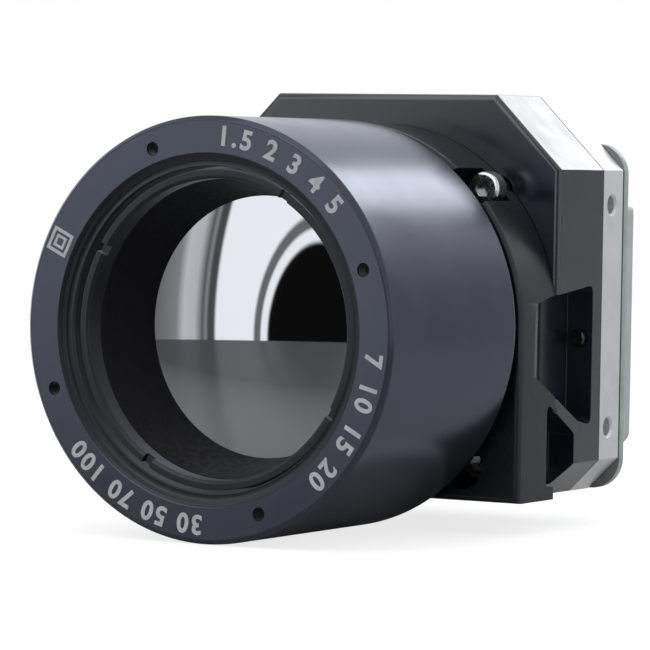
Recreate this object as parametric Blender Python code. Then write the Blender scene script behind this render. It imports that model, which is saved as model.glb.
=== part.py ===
"""Compact thermal camera core: a 44.5 mm square housing, a 35 mm f/1.2 germanium lens on a focusing
thread, a calibration shutter, the detector and its boards, a bare aluminium frame and a rear cover.

Metres, +Z up. The lens looks along -Y. The origin is where the lens axis meets the rear cover's outer
face. Driving dimensions below are in millimetres, and every shape is scaled by MM as it is made."""

import math

import bmesh
import bpy
from mathutils import Matrix

MM = 0.001

# Housing outline, seen from the front. The lens axis is at x = 0, z = 0.
HOUSING_SIZE = 44.5
AXIS_BELOW_CENTRE = 3.3
TOP_CHAMFER = 8.2
BOTTOM_CHAMFER = 3.7
EDGE_BEVEL = 0.7
HALF = HOUSING_SIZE / 2
TOP = HALF + AXIS_BELOW_CENTRE
BOTTOM = AXIS_BELOW_CENTRE - HALF

# Clearance between pieces that touch on the real object.
GAP = 0.3

# Stations along the lens axis, from the rear cover's outer face (0) forwards.
COVER_FRONT = -2.45
BOARD_REAR = COVER_FRONT - GAP
BOARD_FRONT = BOARD_REAR - 1.1
FRAME_REAR = BOARD_FRONT - GAP
FRAME_FRONT = FRAME_REAR - 4.75
HOUSING_REAR = FRAME_FRONT - GAP
HOUSING_FRONT = -20.0
CAVITY_FRONT = HOUSING_FRONT + 3.0
MOUNT_REAR = HOUSING_FRONT - GAP
MOUNT_FRONT = -28.6
BARREL_REAR = -30.0
LENS_FRONT = -57.5

# Lens radii
LENS_RADIUS = 22.5
FACE_INNER_RADIUS = 18.7
STEP_RADII = (18.4, 17.9)
CELL_RADIUS = 17.2
RING_OUTER = CELL_RADIUS - GAP
RING_INNER = 15.9
GLASS_VISIBLE_RADIUS = 14.1
NECK_RADIUS = 17.0
PASSAGE_RADIUS = 14.4
REAR_CELL_RADIUS = 11.4
REAR_STOP_RADIUS = 9.8
BARREL_CHAMFER = 0.5

# Lens depths behind its front plane
STEP_DEPTHS = (0.6, 1.1)
RING_FRONT_DEPTH = 1.93
RING_REAR_DEPTH = 4.3
CONE_REAR_DEPTH = 12.3
FRONT_GLASS_DEPTH = 10.9
FRONT_GLASS_THICKNESS = 3.25
FRONT_GLASS_CURVES = (58.0, 120.0)
CELL_FLOOR_DEPTH = 16.6
PASSAGE_REAR_DEPTH = 26.5
REAR_GLASS_DEPTH = 30.3
REAR_GLASS_THICKNESS = 3.0
REAR_GLASS_CURVES = (40.0, 80.0)
REAR_CELL_DEPTH = 31.2
SEAL_GROOVE_DEPTHS = (31.5, 33.6)
SEAL_GROOVE = 1.8
BARREL_REAR_DEPTH = 35.8

# Spanner holes and slots on the lens's front
SPANNER_HOLE_CIRCLE = 20.1
SPANNER_HOLE_RADIUS = 0.6
SPANNER_HOLE_DEPTH = 1.8
SPANNER_HOLE_START = 20.0
RING_SLOT_START = 60.0
RING_SLOT_WIDTH = 1.6
RING_SLOT_DEPTH = 0.55

# Lens mount
MOUNT_BORE = NECK_RADIUS + GAP
LOCK_RING_RADIUS = 20.5
LOCK_RECESS_RADIUS = LOCK_RING_RADIUS + 0.4
LOCK_RECESS_FLOOR = -27.3
MOUNT_SCREW_CIRCLE = 21.4
MOUNT_SCREW_SEAT = -22.6
MOUNT_COUNTERBORE = 2.6
MOUNT_LIGHT_PATH = 13.0
MOUNT_WEB = 1.1
MOUNT_SCREW_START = 45.0

# Cavity inside the housing and the frame
CAVITY_HALF = 17.6
CAVITY_TOP = 22.4
CAVITY_BOTTOM = -15.8
CAVITY_TOP_CHAMFER = 9.0
CAVITY_BOTTOM_CHAMFER = 3.8
FRAME_CAVITY_TOP = 17.5
FRAME_CAVITY_CHAMFER = 4.0
HOUSING_LIGHT_PATH = 10.5

# Side pockets, as (y, z) points seen from the side
POCKET_DEPTH = 3.17
POCKET_REAR = -11.2
POCKET_FLOOR = HALF - POCKET_DEPTH
RELIEF_SLOPE = (-25.6, -17.6)
UPPER_POCKET = (
    (-26.5, 2.0),
    (-24.0, 2.8),
    (-21.1, 3.4),
    (POCKET_REAR, 4.5),
    (POCKET_REAR, -11.2),
    (-14.4, -10.6),
    (-21.9, -6.8),
    (-26.5, -4.6),
)
LOWER_POCKET = ((-22.0, -8.2), (-15.3, -11.9), (-15.3, -15.6), (-16.4, -17.6), (-22.0, -17.6))

# Shutter
SHUTTER_X = 7.0
SHUTTER_Z = 18.3
SHUTTER_APERTURE = 6.2
FLAG_RADIUS = 6.9
FLAG_PARK_ANGLE = 40.0
FLAG_FRONT = -15.6
FLAG_THICKNESS = 0.35
FLAG_HUB = 2.1
SHAFT_HOLE = 1.1

# Screws
FRAME_SCREW_TIP = -13.5
FRAME_SCREWS = ((18.6, 16.4), (-18.6, 16.4), (18.4, -16.2), (-18.4, -16.2))
COVER_SCREWS = ((19.0, 12.0), (-19.0, 12.0), (19.0, -12.0), (-19.0, -12.0))
FLANGE_SCREWS = ((20.7, -1.5), (-20.7, -1.5))
BOARD_SPACERS = ((14.5, 8.0), (-14.5, 8.0), (14.5, -12.0), (-14.5, -12.0))
SIDE_HOLES = (13.45, -11.64)
SIDE_HOLE_Y = -6.8
M2_CLEARANCE = 1.3
COVER_CLEARANCE = 1.1
FLANGE_CLEARANCE = 0.8

# Rear face
BOARD_BOX = (-22.3, -18.9, 22.3, 20.3)
COVER_BOX = (-21.8, -14.0, 21.8, 14.0)
VIDEO_PLACE = (-9.0, -6.5)
VIDEO_OPENING = 2.9
CONNECTOR_OPENING = (-12.5, 3.2, 12.5, 9.8)
CONNECTOR_BOX = (-12.1, 3.6, 12.1, 9.4)
CONNECTOR_WELL = (-11.0, 5.0, 11.0, 8.0)
CONTACT_ROWS = (("contact_row_upper", 7.25), ("contact_row_lower", 5.45))
POWER_OPENING = (3.5, -9.0, 14.5, -4.0)
POWER_BOX = (3.9, -8.6, 14.1, -4.4)
POWER_WELL = (4.7, -7.8, 13.3, -5.2)
SOCKET_REAR = -0.4
WELL_FLOOR = -1.8

# Facets round a circle
LARGE_ROUND = 40
MEDIUM_ROUND = 24
SMALL_ROUND = 12
TINY_ROUND = 8


def clear_scene():
    for old in list(bpy.data.objects):
        bpy.data.objects.remove(old, do_unlink=True)


def material(name, colour, roughness, metallic):
    made = bpy.data.materials.new(name)
    made.use_nodes = True
    shader = made.node_tree.nodes["Principled BSDF"]
    shader.inputs["Base Color"].default_value = (*colour, 1.0)
    shader.inputs["Roughness"].default_value = roughness
    shader.inputs["Metallic"].default_value = metallic
    return made


def finish(name, shape, look, origin=(0.0, 0.0, 0.0), parent=None):
    """Makes an object from a bmesh in millimetres, with its origin at the given point."""
    bmesh.ops.recalc_face_normals(shape, faces=shape.faces)
    bmesh.ops.translate(shape, verts=shape.verts, vec=[-value for value in origin])
    bmesh.ops.scale(shape, verts=shape.verts, vec=(MM, MM, MM))
    mesh = bpy.data.meshes.new(name)
    shape.to_mesh(mesh)
    shape.free()
    mesh.shade_smooth()
    mesh.set_sharp_from_angle(angle=math.radians(35))
    made = bpy.data.objects.new(name, mesh)
    if look is not None:
        mesh.materials.append(look)
    bpy.context.scene.collection.objects.link(made)
    made.location = [value * MM for value in origin]
    if parent is not None:
        made.parent = parent
        made.location = [value * MM - base for value, base in zip(origin, parent.matrix_world.translation)]
    return made


def axis_empty(name, origin):
    """An empty that marks a joint's axis. Its children turn or slide with it."""
    made = bpy.data.objects.new(name, None)
    made.empty_display_size = 5 * MM
    made.location = [value * MM for value in origin]
    bpy.context.scene.collection.objects.link(made)
    bpy.context.view_layer.update()
    return made


def add_turned(shape, outline, segments, centre=(0.0, 0.0)):
    """Turns a closed outline of (radius, y) points round the axis parallel to Y through centre (x, z)."""
    x, z = centre
    points = [shape.verts.new((x + radius, y, z)) for radius, y in outline]
    edges = [shape.edges.new((a, b)) for a, b in zip(points, points[1:] + points[:1])]
    on_axis = [edge for edge in edges if all(abs(v.co.x - x) < 1e-6 for v in edge.verts)]
    profile = points + [edge for edge in edges if edge not in on_axis]
    made = bmesh.ops.spin(
        shape, geom=profile, cent=(x, 0, z), axis=(0, 1, 0), angle=math.tau, steps=segments, use_merge=True
    )
    for edge in on_axis:
        shape.edges.remove(edge)
    bmesh.ops.remove_doubles(shape, verts=shape.verts, dist=1e-4)
    return made


def turned(outline, segments, centre=(0.0, 0.0)):
    shape = bmesh.new()
    add_turned(shape, outline, segments, centre)
    return shape


def cylinder_outline(radius, front, rear):
    return [(0.0, front), (radius, front), (radius, rear), (0.0, rear)]


def tube_outline(outer, inner, front, rear):
    return [(inner, front), (outer, front), (outer, rear), (inner, rear)]


def torus_outline(circle, minor, y, steps=8):
    angles = [math.tau * step / steps for step in range(steps)]
    return [(circle + minor * math.cos(a), y + minor * math.sin(a)) for a in angles]


def add_prism(shape, outline, low, high, axis="Y"):
    """Extrudes a closed outline: of (x, z) points along Y, of (y, z) along X or of (x, y) along Z."""

    def place(a, b, along):
        if axis == "Y":
            return (a, along, b)
        if axis == "X":
            return (along, a, b)
        return (a, b, along)

    face = shape.faces.new([shape.verts.new(place(a, b, low)) for a, b in outline])
    grown = bmesh.ops.extrude_face_region(shape, geom=[face])
    moved = [item for item in grown["geom"] if isinstance(item, bmesh.types.BMVert)]
    bmesh.ops.translate(shape, verts=moved, vec=place(0, 0, high - low))
    return moved


def prism(outline, low, high, axis="Y"):
    shape = bmesh.new()
    add_prism(shape, outline, low, high, axis)
    return shape


def bevel_edges_at(shape, y, width, segments=2):
    """Bevels the edges that lie in the plane at y."""
    edges = [e for e in shape.edges if all(abs(v.co.y - y) < 1e-4 for v in e.verts)]
    bmesh.ops.bevel(shape, geom=edges, offset=width, segments=segments, profile=0.5, affect="EDGES")


def box_outline(x0, z0, x1, z1):
    return [(x0, z0), (x1, z0), (x1, z1), (x0, z1)]


def chamfered_outline(half, bottom, top, top_chamfer, bottom_chamfer):
    return [
        (-half + bottom_chamfer, bottom),
        (half - bottom_chamfer, bottom),
        (half, bottom + bottom_chamfer),
        (half, top - top_chamfer),
        (half - top_chamfer, top),
        (-half + top_chamfer, top),
        (-half, top - top_chamfer),
        (-half, bottom + bottom_chamfer),
    ]


def round_outline(x0, z0, x1, z1, radius, steps=5):
    """A rectangle with round corners."""
    corners = ((x1, z0, -90.0, -1, 1), (x1, z1, 0.0, -1, -1), (x0, z1, 90.0, 1, -1), (x0, z0, 180.0, 1, 1))
    outline = []
    for x, z, start, inward_x, inward_z in corners:
        for step in range(steps + 1):
            angle = math.radians(start + 90.0 * step / steps)
            centre_x = x + inward_x * radius
            centre_z = z + inward_z * radius
            outline.append((centre_x + radius * math.cos(angle), centre_z + radius * math.sin(angle)))
    return outline


def on_circle(radius, degrees):
    angle = math.radians(degrees)
    return radius * math.cos(angle), radius * math.sin(angle)


def on_quarters(radius, start):
    """Four places a quarter turn apart on a circle."""
    return [on_circle(radius, start + turn) for turn in (0.0, 90.0, 180.0, 270.0)]


def boolean(target, cutter_shape, name, operation="DIFFERENCE"):
    """Adds a Boolean to target, with a hidden helper made from the bmesh."""
    helper = finish(name, cutter_shape, None)
    helper.hide_render = True
    helper.display_type = "WIRE"
    step = target.modifiers.new(name, "BOOLEAN")
    step.operation = operation
    step.solver = "EXACT"
    step.object = helper
    return helper


def holes(radius, front, rear, places, segments=SMALL_ROUND):
    shape = bmesh.new()
    for place in places:
        add_turned(shape, cylinder_outline(radius, front, rear), segments, place)
    return shape


def cap_screws(name, places, seat, tip, head, socket_depth, facing=-1):
    """Cap screws parallel to Y, one object each. head is (radius, height); facing is 1 for rear heads."""
    head_radius, head_height = head
    top = seat + facing * head_height
    floor = top - facing * socket_depth
    outline = [
        (0.0, floor),
        (head_radius * 0.5, floor),
        (head_radius * 0.5, top),
        (head_radius * 0.85, top),
        (head_radius, top - facing * head_radius * 0.15),
        (head_radius, seat),
        (head_radius * 0.5, seat),
        (head_radius * 0.5, tip),
        (0.0, tip),
    ]
    repeated(name, outline, TINY_ROUND, places, STEEL)


def repeated(name, outline, segments, places, look):
    """The same turned piece at each place, each as its own numbered object."""
    for number, place in enumerate(places, 1):
        finish(f"{name}_{number}", turned(outline, segments, place), look)


clear_scene()

BLACK_ANODISED = material("black_anodised_aluminium", (0.055, 0.06, 0.075), 0.35, 0.6)
BLACK_RING = material("black_anodised_ring", (0.04, 0.04, 0.045), 0.4, 0.5)
BLACK_BAFFLE = material("matte_black_baffle", (0.01, 0.01, 0.012), 0.7, 0.0)
GERMANIUM = material("coated_germanium", (0.5, 0.52, 0.56), 0.05, 1.0)
RUBBER = material("black_rubber", (0.02, 0.02, 0.02), 0.6, 0.0)
BLACK_HOUSING = material("black_housing", (0.02, 0.021, 0.025), 0.35, 0.3)
STEEL = material("stainless_steel", (0.6, 0.6, 0.6), 0.25, 1.0)
BARE_ALUMINIUM = material("bare_aluminium", (0.8, 0.81, 0.82), 0.4, 0.9)
COVER_ALUMINIUM = material("rear_cover_aluminium", (0.83, 0.85, 0.86), 0.45, 0.8)
SHUTTER_STEEL = material("shutter_steel", (0.08, 0.08, 0.08), 0.5, 0.6)
CIRCUIT_BOARD = material("circuit_board", (0.03, 0.09, 0.06), 0.4, 0.0)
CERAMIC = material("ceramic_package", (0.75, 0.74, 0.7), 0.5, 0.0)
CHIP_PLASTIC = material("chip_plastic", (0.03, 0.03, 0.03), 0.5, 0.0)
CONNECTOR_PLASTIC = material("connector_plastic", (0.04, 0.04, 0.045), 0.45, 0.0)
GOLD = material("gold_plate", (0.85, 0.62, 0.25), 0.25, 1.0)

FOCUS_TRAVEL = axis_empty("focus_travel_axis", (0, BARREL_REAR, 0))
FOCUS_TURN = axis_empty("focus_turn_axis", (0, BARREL_REAR, 0))
LOCK_TURN = axis_empty("lock_ring_axis", (0, BARREL_REAR, 0))
SHUTTER_SWING = axis_empty("shutter_axis", (SHUTTER_X, FLAG_FRONT, SHUTTER_Z))


def at_depth(radius, depth):
    """A lens outline point at a depth behind the lens's front plane."""
    return radius, LENS_FRONT + depth


def on_lens(name, shape, look, joint):
    """Finishes a lens piece with its origin on the lens axis, at the barrel's rear."""
    return finish(name, shape, look, (0, BARREL_REAR, 0), joint)


def lens_barrel():
    length = BARREL_REAR - LENS_FRONT
    groove_front, groove_rear = SEAL_GROOVE_DEPTHS
    outline = [
        at_depth(FACE_INNER_RADIUS, 0.0),
        at_depth(LENS_RADIUS - BARREL_CHAMFER, 0.0),
        at_depth(LENS_RADIUS, BARREL_CHAMFER),
        at_depth(LENS_RADIUS, length - BARREL_CHAMFER),
        at_depth(LENS_RADIUS - BARREL_CHAMFER, length),
        at_depth(NECK_RADIUS, length),
        at_depth(NECK_RADIUS, groove_front),
        at_depth(NECK_RADIUS - SEAL_GROOVE, groove_front),
        at_depth(NECK_RADIUS - SEAL_GROOVE, groove_rear),
        at_depth(NECK_RADIUS, groove_rear),
        at_depth(NECK_RADIUS, BARREL_REAR_DEPTH - 0.4),
        at_depth(NECK_RADIUS - 0.4, BARREL_REAR_DEPTH),
        at_depth(REAR_CELL_RADIUS, BARREL_REAR_DEPTH),
        at_depth(REAR_CELL_RADIUS, REAR_CELL_DEPTH),
        at_depth(REAR_STOP_RADIUS, REAR_CELL_DEPTH),
        at_depth(REAR_STOP_RADIUS, PASSAGE_REAR_DEPTH + 0.5),
        at_depth(PASSAGE_RADIUS, PASSAGE_REAR_DEPTH),
        at_depth(PASSAGE_RADIUS, CELL_FLOOR_DEPTH),
        at_depth(CELL_RADIUS, CELL_FLOOR_DEPTH),
        at_depth(CELL_RADIUS, STEP_DEPTHS[1]),
        at_depth(STEP_RADII[1], STEP_DEPTHS[1]),
        at_depth(STEP_RADII[1], STEP_DEPTHS[0]),
        at_depth(STEP_RADII[0], STEP_DEPTHS[0]),
    ]
    barrel = on_lens("lens_barrel", turned(outline, LARGE_ROUND), BLACK_ANODISED, FOCUS_TURN)
    places = on_quarters(SPANNER_HOLE_CIRCLE, SPANNER_HOLE_START)
    floor = LENS_FRONT + SPANNER_HOLE_DEPTH
    cutter = holes(SPANNER_HOLE_RADIUS, LENS_FRONT - 1.0, floor, places, TINY_ROUND)
    boolean(barrel, cutter, "spanner_hole_cutter")


def front_retaining_ring():
    chamfer = 0.3
    outline = [
        at_depth(RING_INNER + chamfer, RING_FRONT_DEPTH),
        at_depth(RING_OUTER, RING_FRONT_DEPTH),
        at_depth(RING_OUTER, RING_REAR_DEPTH),
        at_depth(RING_INNER, RING_REAR_DEPTH),
        at_depth(RING_INNER, RING_FRONT_DEPTH + chamfer),
    ]
    ring = on_lens("front_retaining_ring", turned(outline, LARGE_ROUND), BLACK_RING, FOCUS_TURN)
    slots = bmesh.new()
    for turn in (0.0, 90.0):
        angle = Matrix.Rotation(-math.radians(RING_SLOT_START + turn), 4, "Y")
        added = bmesh.ops.create_cube(slots, size=1.0)["verts"]
        bmesh.ops.scale(slots, verts=added, vec=(2 * LENS_RADIUS, RING_SLOT_WIDTH, 2 * RING_SLOT_DEPTH))
        bmesh.ops.transform(slots, verts=added, matrix=angle)
        bmesh.ops.translate(slots, verts=added, vec=(0, LENS_FRONT + RING_FRONT_DEPTH, 0))
    boolean(ring, slots, "ring_slot_cutter")


def lens_arc(radius, vertex, reach, steps=5):
    """Points of a spherical face, from its vertex out to the reach."""
    points = []
    for step in range(steps + 1):
        distance = reach * step / steps
        points.append((distance, vertex + radius - math.sqrt(radius**2 - distance**2)))
    return points


def lens_element(depth, thickness, curves, reach):
    """The closed outline of one glass: its front face, then its rear face back to the axis."""
    vertex = LENS_FRONT + depth
    return lens_arc(curves[0], vertex, reach) + lens_arc(curves[1], vertex + thickness, reach)[::-1]


def lens_glass():
    front = lens_element(FRONT_GLASS_DEPTH, FRONT_GLASS_THICKNESS, FRONT_GLASS_CURVES, RING_OUTER - GAP)
    on_lens("front_element", turned(front, LARGE_ROUND), GERMANIUM, FOCUS_TURN)
    rear = lens_element(REAR_GLASS_DEPTH, REAR_GLASS_THICKNESS, REAR_GLASS_CURVES, REAR_CELL_RADIUS - GAP)
    on_lens("rear_element", turned(rear, MEDIUM_ROUND), GERMANIUM, FOCUS_TURN)


def lens_inner_rings():
    cone = [
        at_depth(RING_INNER, RING_REAR_DEPTH + GAP),
        at_depth(RING_OUTER, RING_REAR_DEPTH + GAP),
        at_depth(RING_OUTER, CONE_REAR_DEPTH),
        at_depth(GLASS_VISIBLE_RADIUS, CONE_REAR_DEPTH),
        at_depth(GLASS_VISIBLE_RADIUS, CONE_REAR_DEPTH - 0.3),
    ]
    baffle_outer, baffle_mouth, baffle_stop = PASSAGE_RADIUS - GAP, 13.4, 10.4
    baffle_front, baffle_rear = CELL_FLOOR_DEPTH + GAP, PASSAGE_REAR_DEPTH - 0.4
    baffle = [
        at_depth(baffle_mouth, baffle_front),
        at_depth(baffle_outer, baffle_front),
        at_depth(baffle_outer, baffle_rear),
        at_depth(baffle_stop, baffle_rear),
        at_depth(baffle_stop, baffle_rear - 0.5),
    ]
    ring_front, ring_rear = LENS_FRONT + 34.4, LENS_FRONT + 35.6
    rear_ring = tube_outline(REAR_CELL_RADIUS - GAP, REAR_STOP_RADIUS, ring_front, ring_rear)
    seal = torus_outline(RING_OUTER - 1.0, 0.38, LENS_FRONT + 15.9)
    pieces = (
        ("front_baffle_cone", cone, LARGE_ROUND, BLACK_BAFFLE),
        ("lens_baffle", baffle, MEDIUM_ROUND, BLACK_BAFFLE),
        ("rear_retaining_ring", rear_ring, MEDIUM_ROUND, BLACK_RING),
        ("front_element_seal", seal, MEDIUM_ROUND, RUBBER),
    )
    for name, outline, segments, look in pieces:
        on_lens(name, turned(outline, segments), look, FOCUS_TURN)


def lens_seal():
    minor = 0.75
    outline = torus_outline(NECK_RADIUS - minor, minor, LENS_FRONT + sum(SEAL_GROOVE_DEPTHS) / 2)
    on_lens("lens_seal", turned(outline, MEDIUM_ROUND), RUBBER, FOCUS_TRAVEL)


def focus_lock_ring():
    outline = tube_outline(LOCK_RING_RADIUS, MOUNT_BORE, BARREL_REAR + GAP, LOCK_RECESS_FLOOR - GAP)
    ring = on_lens("focus_lock_ring", turned(outline, LARGE_ROUND), BLACK_RING, LOCK_TURN)
    notches = holes(1.0, BARREL_REAR - 1, HOUSING_FRONT, on_quarters(LOCK_RING_RADIUS, 0.0), TINY_ROUND)
    boolean(ring, notches, "lock_ring_notch_cutter")


def mount_outline():
    """The lens mount's U: a half circle round the lens axis on straight sides down to the bottom."""
    steps = 24
    top = [on_circle(HALF, 180.0 * step / steps) for step in range(steps + 1)]
    return [(HALF, BOTTOM), *top, (-HALF, BOTTOM)]


def side_relief(side):
    """The plan, seen from above, of the metal taken off one side: a slope inwards, then a flat floor."""
    steps = 8
    start, end = RELIEF_SLOPE
    outside = side * (HALF + 1)
    plan = []
    for step in range(steps + 1):
        share = step / steps
        inward = POCKET_DEPTH * (1 - math.cos(math.pi * share)) / 2
        plan.append((side * (HALF - inward), start + (end - start) * share))
    return [(outside, start), *plan, (side * POCKET_FLOOR, POCKET_REAR), (outside, POCKET_REAR)]


def cut_side_pockets(target, label):
    """On each side, the pocket above the diagonal rib, whose floor slopes, and the flat one below it."""
    beyond = HALF + 2
    for side, word in ((1, "right"), (-1, "left")):
        view = prism(UPPER_POCKET, *sorted((side * HALF / 2, side * beyond)), "X")
        helper = boolean(target, view, f"{label}_{word}_upper_pocket")
        plan = prism(side_relief(side), -14.0, 8.0, "Z")
        boolean(helper, plan, f"{label}_{word}_pocket_plan", "INTERSECT")
        lower = prism(LOWER_POCKET, *sorted((side * POCKET_FLOOR, side * beyond)), "X")
        boolean(target, lower, f"{label}_{word}_lower_pocket")


def lens_mount():
    shape = prism(mount_outline(), MOUNT_REAR, MOUNT_FRONT)
    bevel_edges_at(shape, MOUNT_FRONT, EDGE_BEVEL)
    mount = finish("lens_mount", shape, BLACK_HOUSING)
    web_front = MOUNT_REAR - MOUNT_WEB
    bore = [
        (0.0, MOUNT_FRONT - 1),
        (LOCK_RECESS_RADIUS, MOUNT_FRONT - 1),
        (LOCK_RECESS_RADIUS, LOCK_RECESS_FLOOR),
        (MOUNT_BORE, LOCK_RECESS_FLOOR),
        (MOUNT_BORE, web_front),
        (MOUNT_LIGHT_PATH, web_front),
        (MOUNT_LIGHT_PATH, MOUNT_REAR + 1),
        (0.0, MOUNT_REAR + 1),
    ]
    boolean(mount, turned(bore, LARGE_ROUND), "mount_bore_cutter")
    cut_side_pockets(mount, "mount")
    floor = MOUNT_SCREW_SEAT + GAP
    step = [
        (0.0, MOUNT_FRONT - 1),
        (MOUNT_COUNTERBORE, MOUNT_FRONT - 1),
        (MOUNT_COUNTERBORE, floor),
        (M2_CLEARANCE, floor),
        (M2_CLEARANCE, MOUNT_REAR + 1),
        (0.0, MOUNT_REAR + 1),
    ]
    places = on_quarters(MOUNT_SCREW_CIRCLE, MOUNT_SCREW_START)
    counterbores = bmesh.new()
    for place in places:
        add_turned(counterbores, step, SMALL_ROUND, place)
    boolean(mount, counterbores, "mount_screw_counterbores")
    tip = HOUSING_FRONT + 1.8
    cap_screws("lens_mount_screw", places, MOUNT_SCREW_SEAT, tip, head=(1.9, 2.0), socket_depth=1.1)


def housing_outline():
    return chamfered_outline(HALF, BOTTOM, TOP, TOP_CHAMFER, BOTTOM_CHAMFER)


def cavity_outline(top, top_chamfer, inset=0.0):
    half = CAVITY_HALF - inset
    return chamfered_outline(half, CAVITY_BOTTOM + inset, top - inset, top_chamfer, CAVITY_BOTTOM_CHAMFER)


def front_housing():
    shape = prism(housing_outline(), HOUSING_REAR, HOUSING_FRONT)
    bevel_edges_at(shape, HOUSING_FRONT, EDGE_BEVEL)
    housing = finish("front_housing", shape, BLACK_HOUSING)
    behind = HOUSING_REAR + 1
    cavity = prism(cavity_outline(CAVITY_TOP, CAVITY_TOP_CHAMFER), CAVITY_FRONT, behind)
    boolean(housing, cavity, "cavity_cutter")
    light_path = cylinder_outline(HOUSING_LIGHT_PATH, HOUSING_FRONT - 1, CAVITY_FRONT + 1)
    boolean(housing, turned(light_path, MEDIUM_ROUND), "light_path")
    places = on_quarters(MOUNT_SCREW_CIRCLE, MOUNT_SCREW_START)
    threads = holes(M2_CLEARANCE, HOUSING_FRONT - 1, HOUSING_FRONT + 2.1, places)
    boolean(housing, threads, "mount_screw_threads")
    frame_threads = holes(M2_CLEARANCE, FRAME_SCREW_TIP - GAP, behind, FRAME_SCREWS)
    boolean(housing, frame_threads, "frame_screw_threads")
    cut_side_pockets(housing, "housing")
    boolean(housing, holes(FLANGE_CLEARANCE, POCKET_REAR - 1, behind, FLANGE_SCREWS), "flange_holes")
    seat, tip = POCKET_REAR - GAP, FRAME_FRONT + 1.8
    cap_screws("flange_screw", FLANGE_SCREWS, seat, tip, head=(0.95, 0.7), socket_depth=0.4)


def rear_frame():
    frame = finish("rear_frame", prism(housing_outline(), FRAME_FRONT, FRAME_REAR), BARE_ALUMINIUM)
    before, behind = FRAME_FRONT - 1, FRAME_REAR + 1
    opening = prism(cavity_outline(FRAME_CAVITY_TOP, FRAME_CAVITY_CHAMFER), before, behind)
    boolean(frame, opening, "frame_opening")
    boolean(frame, holes(M2_CLEARANCE, before, behind, FRAME_SCREWS), "frame_screw_holes")
    boolean(frame, holes(COVER_CLEARANCE, FRAME_REAR - 3.0, behind, COVER_SCREWS), "cover_threads")
    boolean(frame, holes(FLANGE_CLEARANCE, before, FRAME_FRONT + 2.1, FLANGE_SCREWS), "flange_threads")
    side = bmesh.new()
    radius, length = 1.0, 4.0
    for direction in (1, -1):
        for z in SIDE_HOLES:
            turn = Matrix.Rotation(math.radians(90), 4, "Y")
            place = Matrix.Translation((direction * (HALF - 0.2), SIDE_HOLE_Y, z)) @ turn
            bmesh.ops.create_cone(
                side,
                cap_ends=True,
                segments=SMALL_ROUND,
                radius1=radius,
                radius2=radius,
                depth=length,
                matrix=place,
            )
    boolean(frame, side, "side_hole_cutter")


def flag_outline():
    """The shutter flag's round blade, parked beside the light path, and its hub round the pivot."""
    reach = math.hypot(SHUTTER_X, SHUTTER_Z)
    parked = math.atan2(-SHUTTER_Z, -SHUTTER_X) - math.radians(FLAG_PARK_ANGLE)
    centre = (SHUTTER_X + reach * math.cos(parked), SHUTTER_Z + reach * math.sin(parked))
    blade_steps, hub_steps = 24, 8
    spread = math.radians(62)
    first = parked + math.pi + spread
    outline = []
    for step in range(blade_steps + 1):
        angle = first + (math.tau - 2 * spread) * step / blade_steps
        outline.append((centre[0] + FLAG_RADIUS * math.cos(angle), centre[1] + FLAG_RADIUS * math.sin(angle)))
    for step in range(hub_steps + 1):
        angle = parked + math.pi + math.radians(160) * (step / hub_steps - 0.5)
        outline.append((SHUTTER_X + FLAG_HUB * math.cos(angle), SHUTTER_Z + FLAG_HUB * math.sin(angle)))
    return outline


def shutter():
    base_front, base_rear = CAVITY_FRONT + GAP, FLAG_FRONT - GAP
    plate = prism(cavity_outline(CAVITY_TOP, CAVITY_TOP_CHAMFER, 0.4), base_front, base_rear)
    base = finish("shutter_base", plate, SHUTTER_STEEL)
    aperture = cylinder_outline(SHUTTER_APERTURE, base_front - 1, base_rear + 1)
    boolean(base, turned(aperture, MEDIUM_ROUND), "shutter_aperture")
    pivot = (SHUTTER_X, SHUTTER_Z)
    pivot_place = (SHUTTER_X, FLAG_FRONT, SHUTTER_Z)
    boolean(base, holes(SHAFT_HOLE, base_front - 1, base_rear + 1, [pivot]), "shaft_hole")
    blade = prism(flag_outline(), FLAG_FRONT, FLAG_FRONT + FLAG_THICKNESS)
    flag = finish("shutter_flag", blade, SHUTTER_STEEL, pivot_place, SHUTTER_SWING)
    boolean(flag, holes(SHAFT_HOLE, FLAG_FRONT - 1, FLAG_FRONT + 1, [pivot]), "flag_hub_hole")
    shaft = turned(cylinder_outline(SHAFT_HOLE - GAP, base_front + 0.2, -11.5), 16, pivot)
    finish("shutter_shaft", shaft, STEEL, pivot_place, SHUTTER_SWING)
    motor = turned(tube_outline(3.6, SHAFT_HOLE, -14.7, -10.9), MEDIUM_ROUND, pivot)
    finish("shutter_motor", motor, SHUTTER_STEEL)


def block(name, box, front, rear, look):
    """A plain block: its x0, z0, x1, z1 and its front and rear."""
    return finish(name, prism(box_outline(*box), front, rear), look)


def detector():
    block("detector_window", (-6, -6, 6, 6), -14.9, -14.1, GERMANIUM)
    package = block("detector_package", (-9, -9, 9, 9), -13.8, -10.4, CERAMIC)
    boolean(package, prism(box_outline(-5, -5, 5, 5), -14.5, -12.2), "package_well")
    block("detector_array", (-4, -3.5, 4, 3.5), -12.9, -12.5, CHIP_PLASTIC)


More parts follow.
